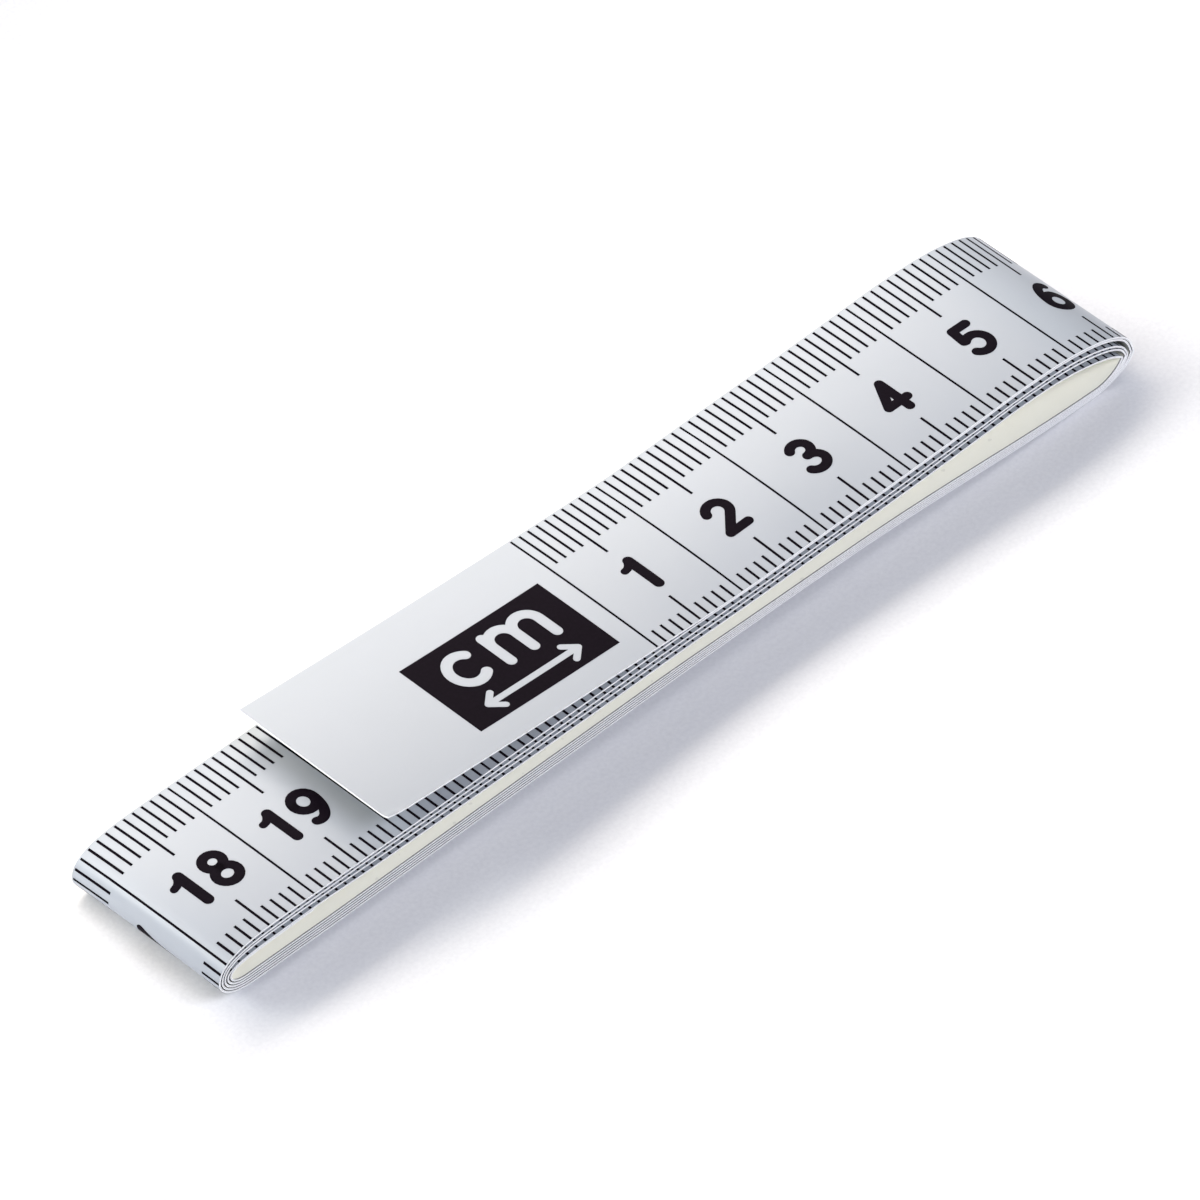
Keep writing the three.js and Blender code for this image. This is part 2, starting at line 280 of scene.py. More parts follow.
def dog_ear(along, across):
    """Lift of the lead's near corner: a rise times the squared share of the way from the crease to the tip,
    where the crease cuts a length off the near edge and a depth off the end."""
    share = 1 - (along - LEAD_END) / EAR_LENGTH - (across - NEAR) / EAR_DEPTH
    return EAR_RISE * np.where(along < 0, np.maximum(share, 0), 0) ** 2


def crown(along, across):
    """Rise of the middle of the top run over its edges: a smooth bump along times a parabola across."""
    middle = (NEAR + FAR) / 2
    arch = 1 - ((across - middle) / (FAR - middle)) ** 2
    return CROWN_RISE * smooth(1 - np.abs(along - CROWN_AT) / CROWN_SPAN) * arch


def place(along, across, depth):
    """Point of the coil: the line at this length, moved along its normal by dog-ear and crown less the depth.
    All but the lead is then raised at the left, less and less towards the far edge by a cube, and the lower
    runs are shifted to the near side at the right."""
    x, z = np.interp(along, scale_mm, line_x), np.interp(along, scale_mm, line_z)
    angle = np.interp(along, scale_mm, turning)
    rise = dog_ear(along, across) + crown(along, across) - depth
    x, z = x - rise * np.sin(angle), z + rise * np.cos(angle)
    level = smooth((ROLL_FROM - x) / ROLL_SPAN) * (along > 0)
    droop = level * np.clip((across - NEAR) / STRIP_WIDTH, 0, 1) ** 3
    aside = SKEW * smooth((x - SKEW_FROM) / SKEW_SPAN) * smooth((SKEW_TOP - z) / SKEW_FADE)
    return np.stack([x + ROLL_SHIFT * droop, across - aside, z + ROLL_RISE * (level - droop)], -1)


print(f"lead corners: {place(LEAD_END, np.array([NEAR, FAR]), 0).round(2).tolist()}")

# %% [markdown]
# ## Thin closed sheets
#
# Film, glue, liner and each mark of ink are all thin sheets with a front, a back and a rim. Blender's
# Solidify could give a sheet its thickness, but two grids at two depths and a wall round them do it exactly,
# and many small marks go through the same arrays at once. The strip's own two lengths become the UV map.

# %% Sheets from grids
SHARP_EDGE = math.radians(40)


def sheets(along, across, front, back):
    """Closed sheets from a stack of grids (count, rows, columns): front and back are the same grid placed at
    two depths, joined by a wall round the rim. Returns corners, quads, UV by corner, and which are walls."""
    count, rows, columns = along.shape
    size = rows * columns
    corners = np.concatenate([
        place(along, across, front).reshape(count, size, 3),
        place(along, across, back).reshape(count, size, 3),
    ], axis=1)
    grid = np.arange(size).reshape(rows, columns)
    face = np.stack([grid[:-1, :-1], grid[1:, :-1], grid[1:, 1:], grid[:-1, 1:]], -1).reshape(-1, 4)
    rim = np.concatenate([grid[:-1, 0], grid[-1, :-1], grid[:0:-1, -1], grid[0, :0:-1]])
    wall = np.stack([rim, rim + size, np.roll(rim, -1) + size, np.roll(rim, -1)], -1)
    quads = np.concatenate([face, face[:, ::-1] + size, wall])
    every = quads[None] + 2 * size * np.arange(count)[:, None, None]
    flat = np.stack([along, across], -1).reshape(count, size, 2)
    is_wall = np.repeat([False, True], [2 * len(face), len(wall)])
    return (corners.reshape(-1, 3), every.reshape(-1, 4),
            np.concatenate([flat, flat], axis=1).reshape(-1, 2), np.tile(is_wall, count))


def make_piece(name, parts, finishes):
    """One object from one or more results of sheets, the walls in the second finish. Metres, at the origin."""
    starts = np.cumsum([0] + [len(part[0]) for part in parts[:-1]])
    corners = np.concatenate([part[0] for part in parts]) * MM
    quads = np.concatenate([part[1] + start for part, start in zip(parts, starts)])
    flat = np.concatenate([part[2] for part in parts])
    is_wall = np.concatenate([part[3] for part in parts])
    mesh = bpy.data.meshes.new(name)
    mesh.from_pydata(corners.tolist(), [], quads.tolist())
    mesh.uv_layers.new(name="strip").data.foreach_set("uv", flat[quads].astype(np.float32).ravel())
    mesh.polygons.foreach_set("use_smooth", np.ones(len(quads), bool))
    mesh.polygons.foreach_set("material_index", is_wall.astype(np.int32))
    for finish in finishes:
        mesh.materials.append(finish)
    mesh.set_sharp_from_angle(angle=SHARP_EDGE)
    made = bpy.data.objects.new(name, mesh)
    bpy.context.scene.collection.objects.link(made)
    return made


# %% [markdown]
# ## Nodes written as sums
#
# A finish is a handful of numbers that change over the surface, and it reads best as arithmetic. One small
# class stands for a socket, so that a sum of two sockets adds the Math node for it. One method adds any
# other node: its type, its settings, and what goes into its sockets.

# %% A socket that can be added and multiplied
class Wire:
    """A socket of one finish. Arithmetic on it adds a Math node and returns that node's socket."""

    def __init__(self, finish, socket):
        self.finish, self.socket = finish, socket

    def maths(self, operation, first, second):
        return self.finish.wire("ShaderNodeMath", {"operation": operation}, {0: first, 1: second})

    def __add__(self, other):
        return self.maths("ADD", self, other)

    def __radd__(self, other):
        return self.maths("ADD", other, self)

    def __sub__(self, other):
        return self.maths("SUBTRACT", self, other)

    def __rsub__(self, other):
        return self.maths("SUBTRACT", other, self)

    def __mul__(self, other):
        return self.maths("MULTIPLY", self, other)

    def __rmul__(self, other):
        return self.maths("MULTIPLY", other, self)

    def __gt__(self, other):
        return self.maths("GREATER_THAN", self, other)

    def __lt__(self, other):
        return self.maths("LESS_THAN", self, other)


class Finish:
    """One material on the Principled shader, with the constants of its sockets and one way to add nodes."""

    def __init__(self, name, constants):
        self.material = bpy.data.materials.new(name)
        self.material.use_nodes = True
        self.tree = self.material.node_tree
        self.shader = self.tree.nodes["Principled BSDF"]
        self.connect(self.shader, constants)

    def connect(self, node, sockets):
        for key, value in sockets.items():
            if isinstance(value, Wire):
                self.tree.links.new(value.socket, node.inputs[key])
            else:
                node.inputs[key].default_value = value

    def node(self, kind, settings, sockets):
        made = self.tree.nodes.new(kind)
        for key, value in settings.items():
            setattr(made, key, value)
        self.connect(made, sockets)
        return made

    def wire(self, kind, settings, sockets, output=0):
        return Wire(self, self.node(kind, settings, sockets).outputs[output])

    def strip(self, stretch=(1.0, 1.0, 1.0)):
        """The strip's own lengths in millimetres, stretched along, across and not at all."""
        flat = self.wire("ShaderNodeUVMap", {"uv_map": "strip"}, {})
        return self.wire("ShaderNodeVectorMath", {"operation": "MULTIPLY"}, {0: flat, 1: stretch})

    def noise(self, where, scale, detail=2.0):
        return self.wire("ShaderNodeTexNoise", {}, {"Vector": where, "Scale": scale, "Detail": detail})

    def between(self, share, first, second):
        """A colour between two others, by a share from 0 to 1."""
        return self.wire("ShaderNodeMix", {"data_type": "RGBA"}, {0: share, 6: first, 7: second}, 2)

    def rough(self, height, strength, depth_mm):
        """A bump of some depth, for grain too fine to be in the mesh."""
        sockets = {"Height": height, "Strength": strength, "Distance": depth_mm * MM}
        return self.wire("ShaderNodeBump", {}, sockets)


# %% [markdown]
# ## The finishes
#
# The film is satin plastic, cool white, with a fine grain from the rollers and a faint cloudiness. Ink lies on
# it a little duller and never quite black. The liner is thin paper coated with silicone: cream, slightly
# fibrous, with a stray speck here and there. The glue is clear and takes its colour from what it lies on.
# The cut edges show the bare white stuff inside. The glue's cut edge is a thin dark line, grey with dust and
# painted darker as the shade between the layers, and a band of painted shade borders the liner where the gaps
# between the turns show it. Each finish is a few layers of noise on the strip's own lengths.

# %% Film and its cut edge
film_finish = Finish("satin_film", {"IOR": 1.46, "Specular IOR Level": 0.5})
cloud = film_finish.noise(film_finish.strip(), 0.09, 3.0)
grain = film_finish.noise(film_finish.strip((1.0, 1.6, 1.0)), 6.0, 3.0)
film_finish.connect(film_finish.shader, {
    "Base Color": film_finish.between(cloud, (0.320, 0.346, 0.386, 1), (0.362, 0.384, 0.426, 1)),
    "Roughness": 0.30 + 0.10 * cloud + 0.08 * grain,
    "Normal": film_finish.rough(grain, 0.10, 0.02),
})
cut_edge = Finish("white_cut_edge", {"IOR": 1.46, "Specular IOR Level": 0.3})
saw = cut_edge.noise(cut_edge.strip((4.0, 0.2, 1.0)), 5.0)
cut_edge.connect(cut_edge.shader, {
    "Base Color": cut_edge.between(saw, (0.94, 0.94, 0.945, 1), (0.98, 0.98, 0.98, 1)),
    "Roughness": 0.50 + 0.2 * saw,
})

# %% Ink, glue and liner
# Width in mm of the band of painted shade along each edge of the liner, where the gaps between turns are in
# shade.
SHADE_BAND = 0.12
ink_finish = Finish("black_ink", {"IOR": 1.45, "Specular IOR Level": 0.02})
blot = ink_finish.noise(ink_finish.strip(), 3.0, 4.0)
ink_finish.connect(ink_finish.shader, {
    "Base Color": ink_finish.between(blot, (0.003, 0.002, 0.004, 1), (0.008, 0.005, 0.009, 1)),
    "Roughness": 0.42 + 0.16 * blot,
    "Normal": ink_finish.rough(blot, 0.08, 0.01),
})
glue_finish = Finish("clear_glue", {"IOR": 1.47})
ripple = glue_finish.noise(glue_finish.strip((0.3, 1.0, 1.0)), 2.0, 3.0)
glue_finish.connect(glue_finish.shader, {
    "Base Color": glue_finish.between(ripple, (0.60, 0.60, 0.55, 1), (0.72, 0.72, 0.68, 1)),
    "Roughness": 0.18 + 0.16 * ripple,
    "Normal": glue_finish.rough(ripple, 0.2, 0.02),
})
# The glue's cut edge: grey dust, painted darker to stand for the shade in the gaps between the layers.
dust_and_shade_edge = Finish("dust_and_shade_glue_edge", {"IOR": 1.47, "Specular IOR Level": 0.2})
dust_and_shade = dust_and_shade_edge.noise(dust_and_shade_edge.strip((3.0, 1.0, 1.0)), 2.0, 4.0)
dust_and_shade_edge.connect(dust_and_shade_edge.shader, {
    "Base Color": dust_and_shade_edge.between(dust_and_shade, (0.46, 0.46, 0.47, 1), (0.62, 0.62, 0.62, 1)),
    "Roughness": 0.55 + 0.3 * dust_and_shade,
})
liner_finish = Finish("cream_liner", {"IOR": 1.42, "Specular IOR Level": 0.3})
fibre = liner_finish.noise(liner_finish.strip((0.35, 1.4, 1.0)), 5.0, 4.0)
pulp = liner_finish.noise(liner_finish.strip(), 0.5, 4.0)
speck = liner_finish.noise(liner_finish.strip(), 1.6, 0.0) > 0.80
across = liner_finish.wire("ShaderNodeSeparateXYZ", {}, {0: liner_finish.strip()}, 1)
# Painted shade: a band along both edges of the liner is darkened almost to black, for the shade in the gaps
# between the turns.
gap_shade = (NEAR + SHADE_BAND > across) + (across > FAR - SHADE_BAND)
paper = liner_finish.between(0.6 * fibre + 0.4 * pulp, (0.93, 0.915, 0.81, 1), (0.975, 0.965, 0.88, 1))
liner_finish.connect(liner_finish.shader, {
    "Base Color": liner_finish.between(0.12 * speck + 0.85 * gap_shade, paper, (0.13, 0.13, 0.14, 1)),
    "Roughness": 0.50 + 0.18 * fibre,
    "Normal": liner_finish.rough(fibre, 0.12, 0.02),
})
print("finishes:", [finish.name for finish in bpy.data.materials if finish.node_tree])

# %% [markdown]
# ## Stretches between the hinges
#
# The CAD part's hinges let the outer turn open at its right fold, its lead lift, and the film peel off the liner
# at the end, while the coil stays still. A strip can't break at a hinge, so it is cut between hinges, where it
# stays straight. A stretch without a hinge rides on its body; a stretch with a hinge in its middle is not blended
# between its two bodies and stays where it is drawn. The cuts lie half way between two ticks and clear of the
# numbers, and only one of them goes through ink, the block on the lead.

# %% The stretches and their hinges
OUTER_TO = 90.0
PEEL_CUT, CREASE_CUT, BLOCK_CUT, LEAD_CUT = -24.4, -18.4, -11.4, -1.5


def nearest(hinge):
    """Scale place nearest to a hinge on the outer turn: the least distance in the plane of the line."""
    outer = scale_mm < OUTER_TO
    return float(scale_mm[outer][np.argmin(np.hypot(line_x[outer] - hinge[0], line_z[outer] - hinge[2]))])


at = {body: nearest(hinge) for body, hinge in hinges.items()}
TAIL = float(scale_mm[-1])
# name, first and last place on the scale, the two bodies, first and last place of the bend, CAD pieces
stretches = [
    ("lead_tip", None, PEEL_CUT, "peel_1", "peel_2", PEEL_CUT, 2 * at["peel_2"] - PEEL_CUT, "peel_2"),
    ("lead_peel", PEEL_CUT, at["peel_1"], "lead_tab", "peel_1", at["peel_1"], PEEL_CUT, "peel_1"),
    ("lead_crease", at["peel_1"], CREASE_CUT, "lead_3", "lead_tab", at["peel_1"] + 1.0, at["peel_1"], None),
    ("lead_third", CREASE_CUT, BLOCK_CUT, "lead_2", "lead_3", at["lead_3"] + 2.7, at["lead_3"] - 2.7, "lead_3"),
    ("lead_second", BLOCK_CUT, LEAD_CUT, "lead_1", "lead_2", at["lead_2"] + 4.0, at["lead_2"] - 4.0, "lead_2"),
    ("lead_first", LEAD_CUT, 10.5, "run", "lead_1", at["lead_1"] + 3.3, at["lead_1"] - 3.3, "lead_1"),
    ("run", 10.5, 30.5, "run", "run", None, None, "run"),
    ("crest", 30.5, 50.5, "run", "fold_3", at["run"] - 3.0, at["run"] + 3.0, None),
    ("fold_top", 50.5, 57.5, "fold_3", "fold_2", at["fold_3"] - 1.2, at["fold_3"] + 1.2, "fold_3"),
    ("fold_bend", 57.5, 62.5, "fold_2", "fold_1", at["fold_2"] - 0.9, at["fold_2"] + 0.9, "fold_2"),
    ("heel", 62.5, 90.5, "fold_1", "coil", at["fold_1"] - 3.0, at["fold_1"] + 3.0, "fold_1"),
    ("coil", 90.5, TAIL, "coil", "coil", None, None, "outer_turn"),
]
print("hinges on the scale, mm:", {body: round(place_mm, 1) for body, place_mm in at.items()})

# %% Rows where the strip turns or bends
ROW_STEP, BEND_STEP, BEND_ROWS, BEND_MARGIN, ROWS_PER_RADIAN = 0.9, 0.12, 20, 0.2, 10.0
EAR_ROWS, EAR_ROOM = 4.0, 4.0


def rows_between(first, last, bend_from, bend_to):
    """Places along a stretch, closer where the line turns, in the bend and at the dog-ear: the inverse of the
    running sum of a density, which is one over the step plus the curvature times the rows in a radian."""
    fine = np.linspace(first, last, 4000)
    density = 1 / ROW_STEP + ROWS_PER_RADIAN * np.interp(fine, scale_mm, curvature)
    if bend_from is not None:
        middle, reach = (bend_from + bend_to) / 2, abs(bend_to - bend_from) / 2 + BEND_MARGIN
        step = max(BEND_STEP, reach / BEND_ROWS)
        density = density + (np.abs(fine - middle) < reach) / step
    if first == LEAD_END:
        density = density + EAR_ROWS * (fine < first + EAR_ROOM)
    total = np.concatenate([[0], np.cumsum((density[1:] + density[:-1]) / 2 * np.diff(fine))])
    return np.interp(np.linspace(0, total[-1], int(total[-1]) + 2), total, fine)


def attach(piece, stretch):
    """Rides the piece on its one body. A piece with a bend is not blended between its bodies: the ends of the
    bend are found but not used, and the piece stays unparented where it is drawn.
    """
    name, first, last, body_a, body_b, bend_from, bend_to, stands_for = stretch
    if bend_from is None:
        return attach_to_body(piece, body_a)
    ends = place(np.array([bend_from, bend_to]), np.zeros(2), 0.0) * MM
    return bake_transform(piece)


# %% [markdown]
# ## Film, glue and liner
#
# The three plies share rows and columns, so their faces meet. At the lead's end the liner is one plain tab,
# because the film and its glue peel away from it. Columns are closer at the near edge, for the dog-ear.

# %% Make the plies
DEPTHS = {"film": (0.0, FILM), "glue": (FILM, FILM + GLUE), "liner": (FILM + GLUE, LAMINATE)}
SLOTS = {"film": "film", "glue": "adhesive", "liner": "liner"}
FINISHES = {
    "film": [film_finish.material, cut_edge.material],
    # The glue's walls take the edge that is partly dust and partly painted shade between the layers.
    "glue": [glue_finish.material, dust_and_shade_edge.material],
    "liner": [liner_finish.material, cut_edge.material],
}
lead_columns = np.concatenate([np.linspace(NEAR, NEAR + 2.4, 12), np.linspace(NEAR + 3.2, FAR, 14)])
plain_columns = np.linspace(NEAR, FAR, 9)


def ply_grid(stretch):
    """Grid of a stretch: its rows by its columns."""
    name, first, last, body_a, body_b, bend_from, bend_to, stands_for = stretch
    columns = lead_columns if last < -15 else plain_columns
    rows = rows_between(LEAD_END if first is None else first, last, bend_from, bend_to)
    along, across = np.meshgrid(rows, columns, indexing="ij")
    return along[None], across[None]


def make_ply(ply, stretch):
    """One ply of one stretch, with what it stands for in the CAD part."""
    made = make_piece(f"{ply}_{stretch[0]}", [sheets(*ply_grid(stretch), *DEPTHS[ply])], FINISHES[ply])
    attach(made, stretch)
    if stretch[-1]:
        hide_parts(f"{stretch[-1]}_{SLOTS[ply]}")
    return made


tab = ("lead_tab", None, at["peel_1"], "lead_tab", "lead_tab", None, None, "lead_tab")
for stretch in stretches:
    for ply in ("film", "glue"):
        make_ply(ply, stretch)
for stretch in [tab] + stretches[2:]:
    make_ply("liner", stretch)
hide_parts("inner_turns")
print("plies:", len([o for o in bpy.data.objects if o.name.split("_")[0] in DEPTHS]))

# %% [markdown]
# ## The scale
#
# Lines cross the strip at each centimetre. Millimetre ticks stand on both edges, long on the far one and short
# on the near one, and every fifth is longer. A texture could draw them, but an image has a limit to its
# sharpness, so each mark is a thin sheet of ink on the film. All the ticks of a stretch are one array. Print
# wanders a little as the strip runs through the press, so the second turn's marks lie further from the near edge.

# %% Ticks and lines
INK_UP, INK_DOWN = -0.012, 0.004
LINE_FOOT, LINE_TOP = -8.70, 8.68
TICK_WIDTH, LINE_WIDTH = 0.24, 0.21
FAR_TICK, FAR_FIVE, NEAR_TICK, NEAR_FIVE = 4.57, 6.47, 1.70, 3.67
DRIFT, DRIFT_FROM, DRIFT_SPAN = 0.3, 60.0, 90.0
tick_mm = np.arange(0, int(TAIL))
is_line, is_five = tick_mm % 10 == 0, tick_mm % 5 == 0


def drift(along):
    """How far the print has wandered across the strip: nothing on the outer turn, then a smooth step."""
    return DRIFT * smooth((along - DRIFT_FROM) / DRIFT_SPAN)


def bars(middle, from_across, to_across, width):
    """Bars across the strip: a stack of grids, each a width about its middle, by six even columns."""
    share = np.linspace(0, 1, 6)
    along = middle[:, None, None] + np.array([-0.5, 0.5])[None, :, None] * width + 0 * share
    foot, top = (np.broadcast_to(end, middle.shape)[:, None, None] for end in (from_across, to_across))
    return along, foot + share * (top - foot) + 0 * along


def ticks_between(first, last):
    """The marks of one stretch by kind: lines, then fives and plain ticks on the far and the near edge."""
    here = (tick_mm >= first) & (tick_mm < last)
    lines, fives, plain = (tick_mm[here & kind] for kind in (is_line, is_five & ~is_line, ~is_five))
    return [
        bars(lines, LINE_FOOT, LINE_TOP, LINE_WIDTH),
        bars(fives, LINE_TOP - FAR_FIVE + drift(fives), LINE_TOP, TICK_WIDTH),
        bars(fives, LINE_FOOT, LINE_FOOT + NEAR_FIVE + drift(fives), TICK_WIDTH),
        bars(plain, LINE_TOP - FAR_TICK + drift(plain), LINE_TOP, TICK_WIDTH),
        bars(plain, LINE_FOOT, LINE_FOOT + NEAR_TICK + drift(plain), TICK_WIDTH),
    ]


print(f"{int(is_line.sum())} lines and {2 * int((~is_line).sum())} ticks on the whole strip")

# %% [markdown]
# ## The numbers
#
# The numerals are bold with round ends, as a pen of one width would draw them. A font could do it, but its
# letters come as flat outlines that don't follow a curved sheet. So each numeral is a few pen strokes, lines
# and arcs with round ends, drawn on the flat strip and then placed like everything else.

# %% Pen strokes
def arc(x, y, reach, rise, start, finish, points=28):
    """Part of an ellipse: its centre plus reach times cosine and rise times sine of even angles."""
    angle = np.radians(np.linspace(start, finish, points))
    return np.stack([x + reach * np.cos(angle), y + rise * np.sin(angle)], 1)


def pen(points, width, rows=34, columns=5):
    """A stroke with round ends: even places along a path and a few past each end, with the half width falling
    there as the root of one less the square of the overrun. Returns a grid of places along and across."""
    points = np.asarray(points, float)
    gone = np.concatenate([[0], np.cumsum(np.hypot(*np.diff(points, axis=0).T))])
    half = width / 2
    over = half * np.sin(np.radians([86, 68, 50, 32, 15]))
    reach = np.concatenate([-over, np.linspace(0, gone[-1], rows - 10), gone[-1] + over[::-1]])
    inside_path = np.clip(reach, 0, gone[-1])
    start, finish = points[1] - points[0], points[-1] - points[-2]
    start, finish = start / np.hypot(*start), finish / np.hypot(*finish)
    middle = np.stack([np.interp(inside_path, gone, points[:, i]) for i in (0, 1)], 1)
    middle += np.minimum(reach, 0)[:, None] * start + np.maximum(reach - gone[-1], 0)[:, None] * finish
    ahead = np.gradient(middle, axis=0)
    ahead /= np.hypot(ahead[:, 0], ahead[:, 1])[:, None]
    spread = half * np.sqrt(1 - (np.abs(reach - inside_path) / half) ** 2)
    sideways = np.stack([-ahead[:, 1], ahead[:, 0]], 1)
    offset = spread[:, None] * np.linspace(-1, 1, columns)
    return middle[:, None] + offset[..., None] * sideways[:, None]


# %% Ten numerals
PEN, STEM_PEN, FLAG_PEN, TALL = 0.93, 1.0, 0.74, 3.62
six = [arc(0, 1.1, 1.03, 1.1, 0, 360), arc(0.30, 1.1, 1.33, TALL - 1.1, 180, 72)]
flag = np.array([(-1.12, -0.75), (-0.75, -0.68), (-0.42, -0.45), (-0.15, -0.10)]) + (0.46, TALL)
numerals = {
    "0": [arc(0, TALL / 2, 1.03, TALL / 2, 90, 450)],
    "1": [[(0.46, TALL), (0.46, 0)], flag],
    "2": [np.vstack([arc(0, TALL - 1.05, 1.05, 1.05, 165, -38), [(-1.0, 0)]]), [(-1.0, 0), (1.06, 0)]],
    "3": [arc(0, TALL - 0.88, 0.92, 0.88, 150, -90), arc(0, 0.93, 1.06, 0.93, 90, -150)],
    "4": [[(0.42, TALL), (-1.08, 0.98)], [(-1.08, 0.98), (1.09, 0.98)], [(0.42, TALL), (0.42, 0)]],
    "5": [[(0.86, TALL), (-0.72, TALL)], [(-0.72, TALL), (-0.88, 2.05)], arc(-0.03, 1.14, 1.09, 1.14, 130, -145)],
    "6": six,
    "7": [[(-1.05, TALL), (1.06, TALL)], [(1.06, TALL), (-0.25, 0)]],
    "8": [arc(0, TALL - 0.85, 0.90, 0.85, -90, 270), arc(0, 0.96, 1.05, 0.96, 90, 450)],
    "9": [np.array([0, TALL]) - stroke for stroke in six],
}
widths = {"1": [STEM_PEN, FLAG_PEN]}
NUMBER_MIDDLE, ADVANCE, PAIR_BACK, LAST_NUMBER = -1.55, 3.52, 0.15, 28


def number_strokes(number):
    """Strokes of a number with their pen widths: numerals an advance apart, centred between two lines, and
    pairs of numerals set back a little."""
    figures = str(number)
    strokes = []
    for order, figure in enumerate(figures):
        along = 10 * number - 5.0 - PAIR_BACK * (number > 9) + ADVANCE * (order - (len(figures) - 1) / 2)
        middle = (along, NUMBER_MIDDLE + drift(along) - TALL / 2)
        pens = widths.get(figure, [PEN] * len(numerals[figure]))
        strokes += [(np.asarray(stroke) + middle, width) for stroke, width in zip(numerals[figure], pens)]
    return strokes


numbers = range(1, LAST_NUMBER + 1)
print(f"numeral strokes up to {LAST_NUMBER}:", sum(len(number_strokes(number)) for number in numbers))

# %% [markdown]
# ## The block on the lead
#
# The blank lead carries a black block. Here it shows a plain length sign in white: the unit, and an arrow with
# two heads under it. The block crosses one cut between stretches, so it is two bands of ink that meet there,
# and the sign is a second, higher layer of ink.

# %% Block and sign
BLOCK_FROM, BLOCK_TO = -18.03, -1.97
BLOCK_FOOT, BLOCK_TOP = -6.24, 3.48
SIGN_PEN, ARROW_PEN, ARROW_AT = 1.0, 0.62, -4.3
letter_c = [arc(-13.6, 0.0, 1.6, 1.75, 48, 312)]
letter_m = [[(-10.15, -1.75), (-10.15, 1.75)]] + [
    np.vstack([arc(stem + 1.33, 0.42, 1.33, 1.33, 180, 0), [(stem + 2.66, -1.75)]]) for stem in (-10.15, -7.49)]
left_head = [[(-14.2, ARROW_AT + 0.95), (-15.3, ARROW_AT)], [(-15.3, ARROW_AT), (-14.2, ARROW_AT - 0.95)]]
right_head = [np.array(stroke) * (-1, 1) + (-20.2, 0) for stroke in left_head]


def band(first, last, foot, top):
    """A rectangle of the strip, with rows close enough to follow its curve."""
    along, across = np.meshgrid(np.linspace(first, last, 40), np.linspace(foot, top, 24), indexing="ij")
    return along[None], across[None]


def drawn(strokes):
    """Pen strokes, each a path and a width, as one stack of grids."""
    grids = np.stack([pen(path, width) for path, width in strokes])
    return grids[..., 0], grids[..., 1]


shaft = (ARROW_AT - ARROW_PEN / 2, ARROW_AT + ARROW_PEN / 2)
blocks = {
    "lead_third": [band(BLOCK_FROM, BLOCK_CUT, BLOCK_FOOT, BLOCK_TOP)],
    "lead_second": [band(BLOCK_CUT, BLOCK_TO, BLOCK_FOOT, BLOCK_TOP)],
}
signs = {
    "lead_third": [drawn([(path, SIGN_PEN) for path in letter_c] + [(path, ARROW_PEN) for path in left_head]),
                   band(-15.2, BLOCK_CUT, *shaft)],
    "lead_second": [drawn([(path, SIGN_PEN) for path in letter_m] + [(path, ARROW_PEN) for path in right_head]),
                    band(BLOCK_CUT, -5.0, *shaft)],
}
print(f"block {BLOCK_TO - BLOCK_FROM:.1f} by {BLOCK_TOP - BLOCK_FOOT:.1f} mm")

# %% Print the stretches
SIGN_UP, SIGN_DOWN, STROKE_RISE = -0.020, -0.008, 0.0012


def print_marks(name, marks, up, down, finish, stretch):
    """One object of all the marks of a stretch. Each stroke of a stack lies a hair above the one before, so
    that crossing strokes never share a plane."""
    parts = []
    for along, across in marks:
        layer = up - STROKE_RISE * (np.arange(len(along)) % 5)[:, None, None]
        parts.append(sheets(along, across, layer, down))
    attach(make_piece(name, parts, [finish.material] * 2), stretch)


for stretch in stretches:
    name, first, last = stretch[:3]
    first = LEAD_END if first is None else first
    marks = blocks.get(name, []) + [grids for grids in ticks_between(first, last) if len(grids[0])]
    here = [number for number in numbers if first < 10 * number - 5 < last]
    strokes = [stroke for number in here for stroke in number_strokes(number)]
    marks += [drawn(strokes)] if strokes else []
    if marks:
        print_marks(f"ink_{name}", marks, INK_UP, INK_DOWN, ink_finish, stretch)
    if name in signs:
        print_marks(f"sign_{name}", signs[name], SIGN_UP, SIGN_DOWN, film_finish, stretch)

# %% [markdown]
# ## Table, light and camera
#
# The tape lies on a pale table. Two narrow lamps close behind it, one warm and one cool, grade the film from far
# to near and throw a soft shadow forward. Large panels behind, in front and at the left fill the shadow and the
# hollow, and two low lamps that face away from the tape keep the rest of the table white. The camera is the
# photographer's: a long lens, half a right angle up and half a right angle round from the strip's length.

# %% The table
TABLE_HALF, TABLE_Z = 3.0, -0.00003
table_mesh = bpy.data.meshes.new("table")
reach = TABLE_HALF * np.array([(-1, -1), (1, -1), (1, 1), (-1, 1)])
table_mesh.from_pydata([(x, y, TABLE_Z) for x, y in reach.tolist()], [], [(0, 1, 2, 3)])
table = bpy.data.objects.new("table", table_mesh)
bpy.context.scene.collection.objects.link(table)
table_finish = Finish("white_table", {"Roughness": 0.7, "Specular IOR Level": 0.2})
spot = table_finish.wire("ShaderNodeTexCoord", {}, {}, 3)
weave = table_finish.noise(spot, 2600.0, 4.0)
table_finish.connect(table_finish.shader, {
    "Base Color": table_finish.between(weave, (0.70, 0.70, 0.725, 1), (0.84, 0.84, 0.855, 1)),
})
table_mesh.materials.append(table_finish.material)

# %% The light
world = bpy.data.worlds.new("room")
world.use_nodes = True
world.node_tree.nodes["Background"].inputs["Color"].default_value = (0.93, 0.94, 1.0, 1)
world.node_tree.nodes["Background"].inputs["Strength"].default_value = 0.02
bpy.context.scene.world = world


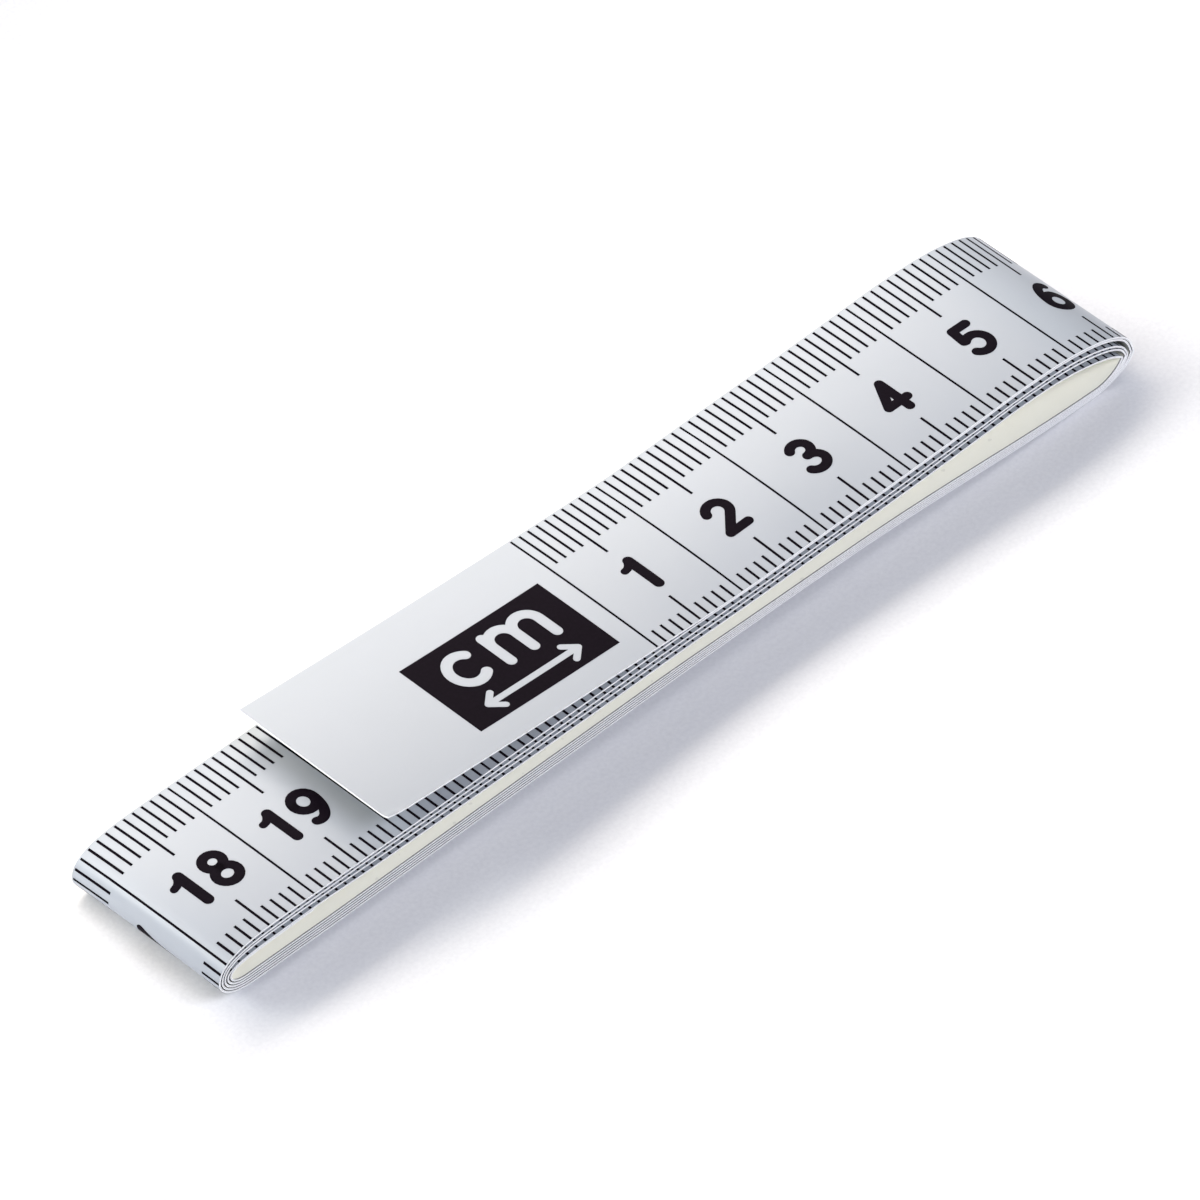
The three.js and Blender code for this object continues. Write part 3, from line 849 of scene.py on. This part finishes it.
def lamp(name, where, towards, wide, high, power, colour):
    """A soft rectangular lamp at a place, turned to face another."""
    light = bpy.data.lights.new(name, "AREA")
    light.shape, light.size, light.size_y, light.energy, light.color = "RECTANGLE", wide, high, power, colour
    made = bpy.data.objects.new(name, light)
    back = np.subtract(where, towards)
    back = back / np.linalg.norm(back)
    right = np.cross((0, 0, 1), back)
    right = right / np.linalg.norm(right)
    turn = np.stack([right, np.cross(back, right), back], 1)
    made.matrix_world = Matrix.Translation(where) @ Matrix(turn.tolist()).to_4x4()
    made.visible_camera = False
    bpy.context.scene.collection.objects.link(made)


MIDDLE, WARM_WHITE = (0.0, 0.0, 0.0), (1.0, 0.97, 0.93)
# name, place, what it faces, width and height in metres, watts, colour
lamps = [
    ("short_strip", (-0.008, 0.0386, 0.0486), (-0.008, 0.0, 0.0), 0.20, 0.02, 0.065, (1.0, 0.83, 0.62)),
    ("long_strip", (0.014, 0.0386, 0.0446), (0.014, 0.0, 0.0), 0.28, 0.02, 0.065, (0.83, 0.92, 1.0)),
    ("back_panel", (-0.50, 0.38, 0.37), MIDDLE, 0.35, 0.22, 2.0, (0.96, 1.0, 0.98)),
    ("front_panel", (0.17, -0.54, 0.566), MIDDLE, 0.60, 0.30, 5.2, (0.885, 0.905, 1.0)),
    ("left_panel", (-0.77, 0.0, 0.206), MIDDLE, 0.50, 0.20, 2.8, (0.90, 0.94, 1.0)),
    ("back_wash", (-0.02, 0.05, 0.06), (-0.05, 0.16, 0.003), 0.32, 0.03, 0.120, WARM_WHITE),
    ("front_wash", (0.01, -0.035, 0.05), (0.013, -0.135, 0.015), 0.32, 0.03, 0.105, WARM_WHITE),
]
for row in lamps:
    lamp(*row)
print("lamps:", [row[0] for row in lamps])

# %% The camera
AZIMUTH, ELEVATION = math.radians(-44.745), math.radians(44.793)
LENS, DISTANCE = 360.0, 992.588
AIM = np.array([ZERO_X, -8.673, 6.28])
SIDEWAYS, UPWARDS = -4.75, 3.868
right = np.array([math.cos(AZIMUTH), math.sin(AZIMUTH), 0.0])
back = np.array([
    math.sin(AZIMUTH) * math.cos(ELEVATION),
    -math.cos(AZIMUTH) * math.cos(ELEVATION),
    math.sin(ELEVATION),
])
up = np.cross(back, right)
stand = (AIM + SIDEWAYS * right + UPWARDS * up + DISTANCE * back) * MM
camera_data = bpy.data.cameras.new("camera")
camera_data.sensor_width, camera_data.lens = 36.0, LENS
camera = bpy.data.objects.new("camera", camera_data)
camera.matrix_world = Matrix.Translation(stand) @ Matrix(np.stack([right, up, back], 1).tolist()).to_4x4()
bpy.context.scene.collection.objects.link(camera)
bpy.context.scene.camera = camera
bpy.context.scene.view_settings.view_transform = "Standard"
print("camera at", stand.round(3).tolist())
